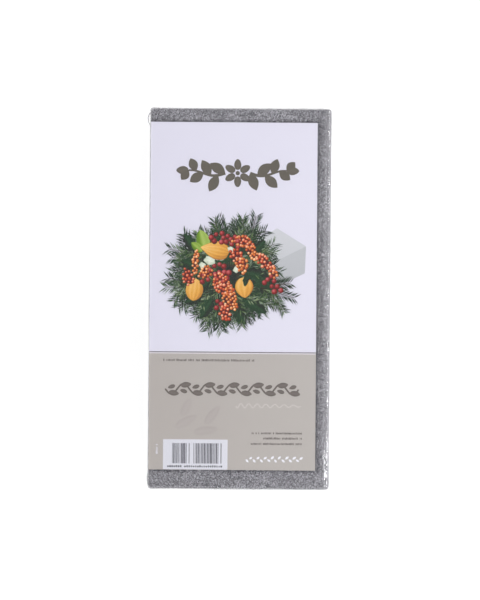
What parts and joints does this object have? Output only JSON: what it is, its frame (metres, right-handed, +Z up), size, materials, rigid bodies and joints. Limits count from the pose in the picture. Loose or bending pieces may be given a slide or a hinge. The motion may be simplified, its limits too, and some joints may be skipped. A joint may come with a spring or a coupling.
{
  "type": "floral foam brick",
  "caption": "Dry floral foam block with a printed card on its largest face, shrink-wrapped in clear film welded along one side and both ends.",
  "frame": {"origin": "on the surface that the pack lies on, under the middle of the pack, which lies on its largest face with the card up", "axes": "+Z is up, out of the card's face; +Y runs along the length to the head end of the card; +X points to the film's folded long side, away from the welded one"},
  "size_m": [0.1114, 0.2318, 0.0807],
  "materials": {
    "foam": "matte",
    "card": "satin",
    "film": "gloss",
    "weld": "gloss"
  },
  "bodies": {
    "root": {"foam_brick": "foam", "label_card": "card", "film_wrap": "film", "side_seam": "weld", "head_seam": "weld", "foot_seam": "weld", "head_ear_welded_side": "weld", "head_ear_folded_side": "weld", "foot_ear_welded_side": "weld", "foot_ear_folded_side": "weld"}
  },
  "joints": []
}
